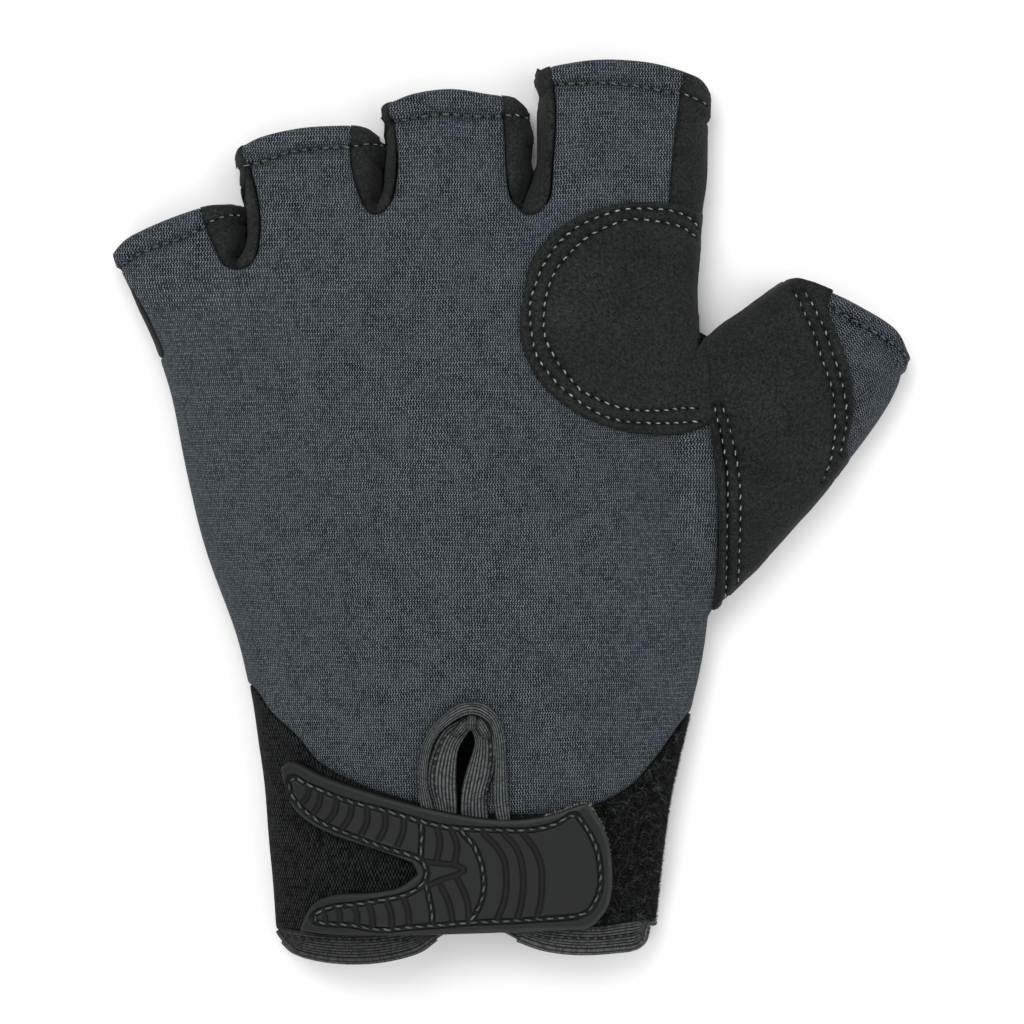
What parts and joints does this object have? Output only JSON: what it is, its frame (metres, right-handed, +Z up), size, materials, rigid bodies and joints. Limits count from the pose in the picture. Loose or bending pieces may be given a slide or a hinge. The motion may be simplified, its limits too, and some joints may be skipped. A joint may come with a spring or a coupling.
{
  "type": "half-finger paddling glove",
  "caption": "Hollow half-finger glove for the left hand with sewn-on suede patches, a split cuff and a moulded closing strap, lying palm down.",
  "frame": {"origin": "on the surface the glove lies on, below the middle of the palm panel", "axes": "+Y from the cuff to the fingers, +X to the thumb side, +Z up from the palm through the back of the hand"},
  "size_m": [0.1605, 0.1809, 0.028],
  "materials": {
    "grey_knit": "heather double-face knit",
    "black_suede": "fine synthetic suede",
    "black_knit": "stretch mesh knit",
    "loop_fabric": "curly loop pile",
    "ribbed_elastic": "ribbed woven elastic",
    "strap_rubber": "satin moulded rubber",
    "hook_tape": "hook tape"
  },
  "bodies": {
    "root": {"back_panel": "grey_knit", "palm_panel": "black_suede", "fourchette_little_ring": "black_suede", "fourchette_ring_middle": "black_suede", "fourchette_middle_index": "black_suede", "index_side_panel": "black_suede", "knuckle_patch": "black_suede", "thumb_stall": "grey_knit", "thumb_patch": "black_suede", "cuff_knit": "black_knit", "cuff_loop": "loop_fabric", "wrist_binding": "ribbed_elastic", "slit_tape_left": "ribbed_elastic", "slit_tape_right": "ribbed_elastic", "keyhole_arch": "ribbed_elastic", "strap": "strap_rubber", "strap_hook_tab": "hook_tape"}
  },
  "joints": []
}
